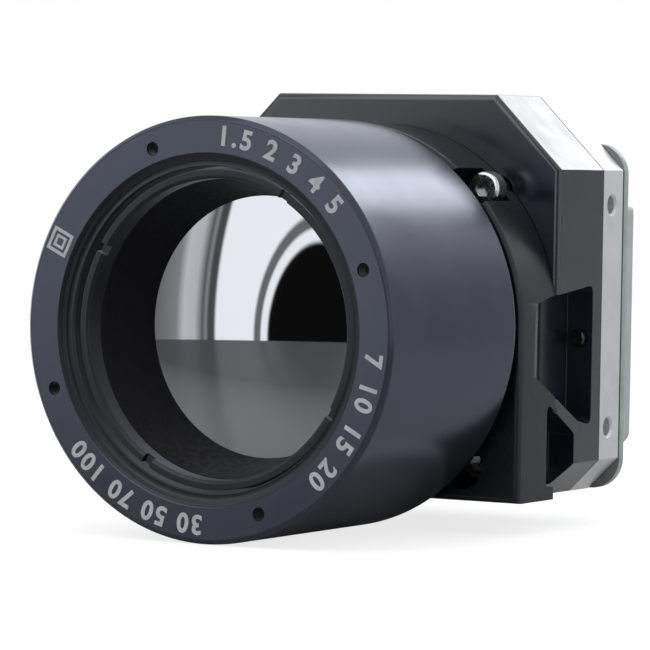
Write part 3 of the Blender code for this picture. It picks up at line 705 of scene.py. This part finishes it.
SCALE_ARCS = (
    ("1.5 2 3 4 5", 87.0, 38.5),
    ("7 10 15 20", -4.0, -50.0),
    ("30 50 70 100", -89.5, -142.0),
)


def square_ring(half, wall):
    """The four bars of a square outline, as boxes (x0, z0, x1, z1)."""
    hole = half - wall
    across = [(-half, hole, half, half), (-half, -half, half, -hole)]
    return across + [(-half, -hole, -hole, hole), (hole, -hole, half, hole)]


def face_scale():
    """Generic focus distances in three arcs on the lens's face, and a plain square index mark."""
    digit_height, baseline, thickness = 2.05, 19.5, 0.06
    size = digit_height / 0.72
    mark_radius, mark_turn = 20.4, 154.4
    advance = {" ": 3.0, ".": 2.4, "1": 4.2}
    shape = bmesh.new()
    for text, start, end in SCALE_ARCS:
        widths = [advance.get(letter, 4.6) for letter in text]
        spread = (start - end) / sum(widths)
        along = 0.0
        for letter, width in zip(text, widths):
            angle = start - (along + width / 2) * spread
            along += width
            if letter != " ":
                glyph_mesh(shape, letter, size, on_face(baseline, angle, FACE), thickness)
    numerals = piece("focus_scale_numerals", shape, PAINT_WHITE, "lens", None)
    mark = bmesh.new()
    place = on_face(mark_radius, mark_turn, FACE)
    for corners in square_ring(1.3, 0.34) + square_ring(0.66, 0.28):
        bar = prism(box_outline(*corners), -thickness / 2, thickness / 2, "Z")
        bmesh.ops.transform(bar, verts=bar.verts, matrix=place)
        merge(mark, bar)
    square = piece("index_mark", mark, PAINT_WHITE, "lens", None)
    numerals.visible_glossy = square.visible_glossy = False


# ---------------------------------------------------------------- housing


def mount_outline():
    steps = 96
    top = [on_circle(HALF, 180.0 * step / steps) for step in range(steps + 1)]
    return [(HALF, BOTTOM), *top, (-HALF, BOTTOM)]


def side_relief(side):
    steps = 24
    start, end = -25.6, -17.6
    plan = []
    for step in range(steps + 1):
        share = step / steps
        inward = POCKET_DEPTH * (1 - math.cos(math.pi * share)) / 2
        plan.append((side * (HALF - inward), start + (end - start) * share))
    outside = side * (HALF + 1)
    return [(outside, start), *plan, (side * POCKET_FLOOR, POCKET_REAR), (outside, POCKET_REAR)]


UPPER_POCKET = [
    (-26.5, 2.0),
    (-24.0, 2.8),
    (-21.1, 3.4),
    (POCKET_REAR, 4.5),
    (POCKET_REAR, -11.2),
    (-14.4, -10.6),
    (-21.9, -6.8),
    (-26.5, -4.6),
]
LOWER_POCKET = [(-22.0, -8.2), (-15.3, -11.9), (-15.3, -15.6), (-16.4, -17.6), (-22.0, -17.6)]


def side_cutters(side):
    """The two pockets of one side, with round corners."""
    low, high = sorted((side * 10.0, side * 24.0))
    view = object_from("helper", prism(rounded(UPPER_POCKET, 0.9, 4), low, high, "X"))
    carve(view, [prism(side_relief(side), -14.0, 8.0, "Z")], "INTERSECT")
    low, high = sorted((side * (POCKET_FLOOR - 0.004), side * 24.3))
    return [view, prism(rounded(LOWER_POCKET, 0.8, 4), low, high, "X")]


SCREW_CIRCLE = 21.4
MOUNT_SCREWS = [on_circle(SCREW_CIRCLE, 45.0 + turn) for turn in QUARTERS]
SEAM = 0.13
M2_HOLE, COVER_HOLE, FLANGE_HOLE = 1.3, 1.1, 0.8


def mount():
    shape = prism(mount_outline(), MOUNT_LOW.y, MOUNT_HIGH.y + SEAM)
    round_end(shape, MOUNT_LOW.y, 0.7, 3)
    made = piece("lens_mount_body", shape, MOUNT_BLACK, "housing", "lens_mount")
    mouth, shoulder, step_y, throat = LOCK_HIGH.x + 0.4, -27.3, MOUNT_HIGH.y - 1.1, 13.0
    bore = [(0, MOUNT_LOW.y - 1), (mouth + 0.3, MOUNT_LOW.y - 1), (mouth, MOUNT_LOW.y + 0.3)]
    bore += [(mouth, shoulder), (MOUNT_BORE, shoulder), (MOUNT_BORE, step_y), (throat, step_y)]
    bore += [(throat, MOUNT_HIGH.y + 1), (0, MOUNT_HIGH.y + 1)]
    cutters = [cutter for side in (1, -1) for cutter in side_cutters(side)]
    seat, head = -22.3, 2.6
    step = [(0, MOUNT_LOW.y - 1), (head, MOUNT_LOW.y - 1), (head, seat)]
    step += [(M2_HOLE, seat), (M2_HOLE, -19), (0, -19)]
    counterbores = bmesh.new()
    for place in MOUNT_SCREWS:
        add_lathe(counterbores, step, SMALL, place)
    carve(made, [*cutters, lathe(bore, FINE), counterbores])
    soften_edges(made, 0.12)


def places_of(name, count):
    """The (x, z) centres of the frame's numbered nodes of one name."""
    centres = [centre_of(f"{name}_{number}") for number in range(1, count + 1)]
    return [(centre.x, centre.z) for centre in centres]


FRAME_SCREWS = places_of("frame_screw", 4)
COVER_SCREWS = places_of("cover_screw", 4)
FLANGE_SCREWS = places_of("flange_screw", 2)


def cavity_outline(top, top_chamfer):
    return chamfered_outline(17.6, -15.8, top, top_chamfer, 3.8)


def body_outline():
    return chamfered_outline(HALF, BOTTOM, TOP, TOP_CHAMFER, BOTTOM_CHAMFER)


def housing():
    shape = prism(body_outline(), HOUSING_LOW.y, HOUSING_HIGH.y + 0.05)
    round_end(shape, HOUSING_LOW.y, 0.7, 4)
    made = piece("front_housing_body", shape, HOUSING_BLACK, "housing", "front_housing")
    cavity = prism(cavity_outline(22.4, 9.0), -17.0, HOUSING_HIGH.y + 1)
    cutters = [cutter for side in (1, -1) for cutter in side_cutters(side)]
    cutters += [
        cavity,
        lathe([(0, -21), (10.5, -21), (10.5, -16), (0, -16)], FINE),
        drill(M2_HOLE, -21, -17.9, MOUNT_SCREWS),
        drill(M2_HOLE, -13.8, HOUSING_HIGH.y + 1, FRAME_SCREWS),
        drill(FLANGE_HOLE, POCKET_REAR - 1, HOUSING_HIGH.y + 1, FLANGE_SCREWS),
    ]
    carve(made, cutters)
    soften_edges(made, 0.16, 3)


def metal_frame():
    shape = prism(body_outline(), FRAME_LOW.y - 0.05, FRAME_HIGH.y + 0.02)
    made = piece("rear_frame_body", shape, BARE_ALUMINIUM, "housing", "rear_frame")
    bore = [(0, 1.5), (1.25, 1.5), (1.25, 0.0), (1.0, -0.28), (1.0, -1.9), (0, -2.2)]
    side_holes = bmesh.new()
    for side in (1, -1):
        for z in (13.45, -11.64):
            part = lathe([(radius, -side * depth) for radius, depth in bore], SMALL)
            bmesh.ops.rotate(part, verts=part.verts, matrix=Matrix.Rotation(math.radians(90), 3, "Z"))
            bmesh.ops.translate(part, verts=part.verts, vec=(side * HALF, -6.8, z))
            merge(side_holes, part)
    cutters = [
        prism(rounded(cavity_outline(17.5, 4.0), 1.0, 4), FRAME_LOW.y - 1, FRAME_HIGH.y + 1),
        drill(M2_HOLE, FRAME_LOW.y - 1, FRAME_HIGH.y + 1, FRAME_SCREWS),
        drill(COVER_HOLE, FRAME_HIGH.y - 3, FRAME_HIGH.y + 1, COVER_SCREWS),
        drill(FLANGE_HOLE, FRAME_LOW.y - 1, FRAME_LOW.y + 2.1, FLANGE_SCREWS),
        side_holes,
    ]
    carve(made, cutters)
    soften_edges(made, 0.14, 3)


def board():
    outline = round_outline(BOARD_LOW.x, BOARD_LOW.z, BOARD_HIGH.x, BOARD_HIGH.z, 3.5, 12)
    shape = prism(outline, BOARD_LOW.y, BOARD_HIGH.y, "Y", 0.06, 2)
    made = piece("interface_board_body", shape, BOARD, "housing", "interface_board")
    front, rear = BOARD_LOW.y, BOARD_HIGH.y
    holes = ((M2_HOLE, FRAME_SCREWS), (COVER_HOLE, COVER_SCREWS))
    carve(made, [drill(radius, front - 1, rear + 1, places) for radius, places in holes])
    made.data.materials.append(BOARD_EDGE)
    made.data.materials.append(BOARD_FRONT)
    for polygon in made.data.polygons:
        if abs(polygon.normal.y) < 0.5:
            polygon.material_index = 1
        elif polygon.normal.y < 0:
            polygon.material_index = 2
    parts, pads = bmesh.new(), bmesh.new()
    row = [(-13.5 + 2.2 * step, 17.4 + (0.9 if step % 3 == 1 else 0.0)) for step in range(13)]
    row += [(-14.0 + 2.6 * step, -16.9 + (0.7 if step % 4 == 2 else 0.0)) for step in range(11)]
    for index, (x, z) in enumerate(row):
        long, wide = (0.75, 0.4) if index % 3 else (0.5, 0.28)
        outline = box_outline(x - long * 0.6, z - wide, x + long * 0.6, z + wide)
        add_prism(parts, outline, rear, rear + 0.28 + 0.1 * (index % 2), "Y", 0.04, 2)
        for end in (-1, 1):
            low, high = sorted((x + end * long * 0.62, x + end * long))
            add_prism(pads, box_outline(low, z - wide, high, z + wide), rear, rear + 0.26, "Y", 0.05, 2)
    piece("board_chip_parts", parts, CERAMIC, "housing", None)
    piece("board_solder_ends", pads, SOLDER, "housing", None)


VIDEO_PLACE = (-9.0, -6.5)


def cover():
    outline = round_outline(COVER_LOW.x, COVER_LOW.z, COVER_HIGH.x, COVER_HIGH.z, 1.5, 8)
    shape = prism(outline, COVER_LOW.y, COVER_HIGH.y)
    round_end(shape, COVER_HIGH.y, 0.4, 3)
    made = piece("rear_cover_body", shape, COVER_ALUMINIUM, "housing", "rear_cover")
    sink = [(0, -3.4), (COVER_HOLE, -3.4), (COVER_HOLE, -1.3), (2.1, -0.3), (2.1, 1.0), (0, 1.0)]
    sinks = bmesh.new()
    for place in COVER_SCREWS:
        add_lathe(sinks, sink, SMALL, place)
    low = COVER_LOW.y - 1
    cutters = [
        prism(round_outline(-12.5, 3.2, 12.5, 9.8, 0.8), low, 1),
        drill(2.9, low, 1, [VIDEO_PLACE], MEDIUM),
        prism(round_outline(3.5, -9.0, 14.5, -4.0, 0.5), low, 1),
        sinks,
    ]
    carve(made, cutters)
    soften_edges(made, 0.08)


def hex_socket(radius, front, rear, place):
    angles = [TURN * side / 6 for side in range(6)]
    corners = [(place[0] + radius * math.cos(angle), place[1] + radius * math.sin(angle)) for angle in angles]
    return prism(corners, *sorted((front, rear)))


def screws():
    """Machine screws with round-edged heads and hexagon sockets, in the places of the frame's own."""
    # name, count, the way it faces, head radius, head height, socket radius, socket depth
    groups = (
        ("lens_mount_screw", 4, -1, 1.9, 2.0, 0.95, 1.1),
        ("flange_screw", 2, -1, 0.95, 0.7, 0.45, 0.4),
        ("frame_screw", 4, 1, 1.8, 1.2, 0.85, 0.7),
    )
    for name, count, facing, radius, height, socket, deep in groups:
        for number in range(1, count + 1):
            node = f"{name}_{number}"
            low, high = box_mm(node)
            place = ((low.x + high.x) / 2, (low.z + high.z) / 2)
            top, tip = (low.y, high.y) if facing < 0 else (high.y, low.y)
            seat = top - facing * height
            edge, shank = radius * 0.18, radius * 0.5
            outline = [(0, top), (radius - edge, top), (radius - edge * 0.3, top - facing * edge * 0.3)]
            outline += [(radius, top - facing * edge), (radius, seat), (shank, seat), (shank, tip), (0, tip)]
            look = DARK_STEEL if name == "flange_screw" else STEEL
            made = piece(f"{node}_steel", lathe(outline, SMALL, place), look, "housing", node)
            carve(made, [hex_socket(socket, top + facing, top - facing * deep, place)])
    outline = [(0, -0.25), (1.62, -0.25), (1.7, -0.32), (1.7, -0.5), (0.75, -1.35), (0.75, -6.8), (0, -6.8)]
    for number, place in enumerate(COVER_SCREWS, 1):
        node = f"cover_screw_{number}"
        made = piece(f"{node}_steel", lathe(outline, SMALL, place), STEEL, "housing", node)
        carve(made, [hex_socket(0.7, 1.0, -0.95, place)])


def sockets():
    """The connectors in the rear cover, each contact its own pin."""
    front = COVER_LOW.y
    shell = prism(round_outline(-12.1, 3.6, 12.1, 9.4, 0.35), front, -0.4, "Y", 0.12, 2)
    made = piece("rear_connector_shell", shell, CONNECTOR, "housing", "rear_connector")
    carve(made, [prism(round_outline(-11.0, 5.0, 11.0, 8.0, 0.2), -1.8, 1.0)])
    for node, z in (("contact_row_upper", 7.25), ("contact_row_lower", 5.45)):
        pins = bmesh.new()
        for index in range(16):
            x = (index - 7.5) * 1.3
            add_prism(pins, box_outline(x - 0.2, z - 0.15, x + 0.2, z + 0.15), -1.95, -0.75, "Y", 0.05, 2)
        piece(f"{node}_pins", pins, GOLD, "housing", node)
    video = [(0.9, front), (2.6, front), (2.6, -1.6), (2.1, -1.6)]
    video += vee_thread(2.1, -1.5, -0.55, 0.24, -0.1)
    video += [(2.05, -0.45), (1.95, -0.4), (1.5, -0.4), (1.5, -1.9), (0.9, -1.9)]
    socket = lathe(video, MEDIUM, VIDEO_PLACE)
    piece("video_socket_brass", socket, GOLD, "housing", "video_socket")
    pin = [(0, -2.2), (0.4, -2.2), (0.4, -1.0), (0.25, -0.8), (0, -0.8)]
    piece("video_pin_gold", lathe(pin, SMALL, VIDEO_PLACE), GOLD, "housing", "video_pin")
    shell = prism(round_outline(3.9, -8.6, 14.1, -4.4, 0.35), front, -0.4, "Y", 0.12, 2)
    made = piece("power_socket_shell", shell, CONNECTOR, "housing", "power_socket")
    carve(made, [prism(round_outline(4.7, -7.8, 13.3, -5.2, 0.2), -1.8, 1.0)])
    pins = bmesh.new()
    for index in range(4):
        x = 9.0 + (index - 1.5) * 2.0
        add_prism(pins, box_outline(x - 0.3, -6.8, x + 0.3, -6.2), -1.95, -0.75, "Y", 0.08, 2)
    piece("power_contact_pins", pins, GOLD, "housing", "power_contacts")


barrel()
retaining_ring()
baffle_cone()
glass()
lock_ring()
face_scale()
mount()
housing()
metal_frame()
board()
cover()
screws()
sockets()


# ---------------------------------------------------------------- finishes of the nodes that stay

INSIDE = {
    "lens_baffle": BAFFLE_BLACK,
    "rear_element": GERMANIUM,
    "rear_retaining_ring": RING_BLACK,
    "front_element_seal": RUBBER,
    "lens_seal": RUBBER,
    "shutter_base": SHUTTER,
    "shutter_flag": SHUTTER,
    "shutter_motor": SHUTTER,
    "shutter_shaft": STEEL,
    "detector_window": GERMANIUM,
    "detector_package": CERAMIC,
    "detector_array": CHIP,
    "detector_board": BOARD,
    "processor_board": BOARD,
    "stacking_connector": CONNECTOR,
    "interface_connector": CONNECTOR,
    "processor_chip": CHIP,
    "memory_chip_1": CHIP,
    "memory_chip_2": CHIP,
}
for name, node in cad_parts.items():
    look = INSIDE.get(name, STEEL)
    if not node.material_slots:
        node.data.materials.append(look)
    for place in node.material_slots:
        place.material = look


# ---------------------------------------------------------------- stage, light and camera

FLOOR_Z = -LENS_RADIUS - 0.02


def direction(azimuth, elevation):
    """A unit vector; azimuth runs from +Y towards +X."""
    a, e = math.radians(azimuth), math.radians(elevation)
    return Vector((math.sin(a) * math.cos(e), math.cos(a) * math.cos(e), math.sin(e)))


def panel(name, azimuth, elevation, width, height, radiance):
    """A soft rectangular light; width and height are in degrees as seen from its aim."""
    distance, aim = 0.9, Vector((0, -0.03, 0))
    data = bpy.data.lights.new(name, "AREA")
    data.shape = "RECTANGLE"
    data.size = 2 * distance * math.tan(math.radians(width / 2))
    data.size_y = 2 * distance * math.tan(math.radians(height / 2))
    data.energy = radiance * math.pi * data.size * data.size_y
    made = bpy.data.objects.new(name, data)
    bpy.context.scene.collection.objects.link(made)
    out = direction(azimuth, elevation)
    made.location = aim + out * distance
    made.rotation_euler = out.to_track_quat("Z", "Y").to_euler()
    made.visible_camera = False
    return made


def floor():
    """A floor that looks pale to the camera through a pale diffuse and a painted glow, an emission that fills
    in its shadows, so it fades into the white surroundings. Other rays see a grey with painted shade: darker
    in front of the lens, lighter under the body, with a little satin gloss.
    """
    look = bpy.data.materials.new("floor_painted_glow_and_shade")
    look.use_nodes = True
    tree = look.node_tree
    tree.nodes.clear()
    add = tree.nodes.new
    output = add("ShaderNodeOutputMaterial")
    place = add("ShaderNodeSeparateXYZ")
    tree.links.new(add("ShaderNodeTexCoord").outputs["Object"], place.inputs[0])
    # Painted shade: the grey that reflections see runs from dark in front of the lens to lighter under the
    # body.
    depth = add("ShaderNodeMapRange")
    for key, number in (("From Min", -0.06), ("From Max", 0.01), ("To Min", 0.13), ("To Max", 0.48)):
        depth.inputs[key].default_value = number
    tree.links.new(place.outputs["Y"], depth.inputs["Value"])
    matt = add("ShaderNodeBsdfDiffuse")
    tree.links.new(depth.outputs["Result"], matt.inputs["Color"])
    satin = add("ShaderNodeBsdfGlossy")
    satin.inputs["Roughness"].default_value = 0.22
    grey = add("ShaderNodeMixShader")
    grey.inputs[0].default_value = 0.10
    tree.links.new(matt.outputs[0], grey.inputs[1])
    tree.links.new(satin.outputs[0], grey.inputs[2])
    pale = add("ShaderNodeBsdfDiffuse")
    pale.inputs["Color"].default_value = (0.34, 0.34, 0.34, 1.0)
    # Painted light: to the camera the floor glows, which fills in the shadows that fall on it.
    painted_glow = add("ShaderNodeEmission")
    painted_glow.inputs["Strength"].default_value = 0.78
    both = add("ShaderNodeAddShader")
    path = add("ShaderNodeLightPath")
    choose = add("ShaderNodeMixShader")
    tree.links.new(pale.outputs[0], both.inputs[0])
    tree.links.new(painted_glow.outputs[0], both.inputs[1])
    tree.links.new(path.outputs["Is Camera Ray"], choose.inputs[0])
    tree.links.new(grey.outputs[0], choose.inputs[1])
    tree.links.new(both.outputs[0], choose.inputs[2])
    tree.links.new(choose.outputs[0], output.inputs["Surface"])
    shape = bmesh.new()
    bmesh.ops.create_circle(shape, cap_ends=True, radius=0.235, segments=128)
    mesh = bpy.data.meshes.new("studio_floor")
    shape.to_mesh(mesh)
    shape.free()
    mesh.materials.append(look)
    made = bpy.data.objects.new("studio_floor", mesh)
    made.location = (0, -0.0475, FLOOR_Z * MM)
    bpy.context.scene.collection.objects.link(made)


# The ring ramps run from 0 at their centre to this many times the inner oval's size.
WIDEST_RING = 4.0


def surroundings():
    """Plain white to the camera. Other rays meet white behind the object and cards in rings before it."""
    world = bpy.data.worlds.new("studio")
    bpy.context.scene.world = world
    world.use_nodes = True
    tree = world.node_tree
    tree.nodes.clear()
    add = tree.nodes.new
    link = tree.links.new
    coordinates = add("ShaderNodeTexCoord").outputs["Generated"]

    def dot(vector):
        made = add("ShaderNodeVectorMath")
        made.operation = "DOT_PRODUCT"
        made.inputs[1].default_value = vector
        link(coordinates, made.inputs[0])
        return made.outputs["Value"]

    def span(value, low, high, out_low, out_high, smoothly=False):
        ramp = add("ShaderNodeMapRange")
        ramp.interpolation_type = "SMOOTHSTEP" if smoothly else "LINEAR"
        for key, number in (("From Min", low), ("From Max", high), ("To Min", out_low), ("To Max", out_high)):
            ramp.inputs[key].default_value = number
        link(value, ramp.inputs["Value"])
        return ramp.outputs["Result"]

    def calculate(operation, first, second):
        made = add("ShaderNodeMath")
        made.operation = operation
        for socket, value in zip(made.inputs, (first, second)):
            if isinstance(value, (int, float)):
                socket.default_value = value
            else:
                link(value, socket)
        return made.outputs["Value"]

    azimuth, elevation, half_width, half_height = -163.0, -5.6, 11.9, 21.5
    centre = direction(azimuth, 0)
    across = span(dot(direction(azimuth + 90, 0)), 0, math.sin(math.radians(half_width)), 0, 1)
    across.node.clamp = False
    height = dot((0, 0, 1))
    rise = math.sin(math.radians(half_height))
    up = span(height, math.sin(math.radians(elevation)), math.sin(math.radians(elevation)) + rise, 0, 1)
    up.node.clamp = False

    def rings(flatness, levels):
        """Grey levels on nested ovals; a smaller flatness makes the ovals taller."""
        tall = calculate("MULTIPLY", calculate("POWER", up, 2), flatness)
        ring = calculate("SQRT", calculate("ADD", calculate("POWER", across, 2), tall), 0)
        ramp = add("ShaderNodeValToRGB")
        elements = ramp.color_ramp.elements
        while len(elements) < len(levels):
            elements.new(0.5)
        for element, (place, level) in zip(elements, levels):
            element.position = place / WIDEST_RING
            element.color = (level, level, level, 1)
        link(calculate("DIVIDE", ring, WIDEST_RING), ramp.inputs["Fac"])
        return ramp.outputs["Color"]

    inner = (
        (0.0, 0.004),
        (0.98, 0.004),
        (1.03, 0.95),
        (1.13, 0.95),
        (1.17, 0.15),
        (1.27, 0.15),
        (1.32, 0.97),
    )
    outer = (
        (2.10, 0.97),
        (2.16, 0.07),
        (2.27, 0.07),
        (2.33, 0.26),
        (2.40, 0.10),
        (2.56, 0.50),
        (2.80, 0.55),
        (2.95, 0.24),
        (3.6, 0.10),
    )
    in_front = dot(centre)
    shown = span(in_front, 0.1, 0.35, 0, 1, True)
    plain = span(dot(direction(-150, 0)), -0.1, 0.75, 1.0, 0.35, True)
    plain = calculate("MULTIPLY", plain, span(dot(direction(32, -3)), 0.88, 0.995, 1.0, 0.45, True))
    picture = calculate("MULTIPLY", calculate("MINIMUM", rings(1.0, inner), rings(0.25, outer)), 2.0)
    blend = add("ShaderNodeMix")
    link(shown, blend.inputs["Factor"])
    link(plain, blend.inputs[2])
    link(picture, blend.inputs[3])
    lit = add("ShaderNodeBackground")
    lit.inputs["Color"].default_value = (0.97, 0.98, 1.0, 1)
    link(blend.outputs[0], lit.inputs["Strength"])
    seen = add("ShaderNodeBackground")
    seen.inputs["Color"].default_value = (1, 1, 1, 1)
    path = add("ShaderNodeLightPath")
    choose = add("ShaderNodeMixShader")
    link(path.outputs["Is Camera Ray"], choose.inputs[0])
    link(lit.outputs[0], choose.inputs[1])
    link(seen.outputs[0], choose.inputs[2])
    output = add("ShaderNodeOutputWorld")
    link(choose.outputs[0], output.inputs["Surface"])


def camera():
    data = bpy.data.cameras.new("camera")
    data.sensor_width = 36.0
    data.lens = 219.47
    data.clip_start = 0.01
    data.clip_end = 10.0
    made = bpy.data.objects.new("camera", data)
    made.matrix_world = Matrix(
        (
            (0.863791, -0.036036, 0.502561, 0.219304),
            (0.503580, 0.029027, -0.863461, -0.409293),
            (0.016528, 0.998929, 0.043220, 0.018705),
            (0, 0, 0, 1),
        )
    )
    bpy.context.scene.collection.objects.link(made)
    bpy.context.scene.camera = made


floor()
surroundings()
panel("overhead_strip", 4.5, 30, 14, 26, 4.0)
camera()
bpy.context.scene.view_settings.view_transform = "Standard"
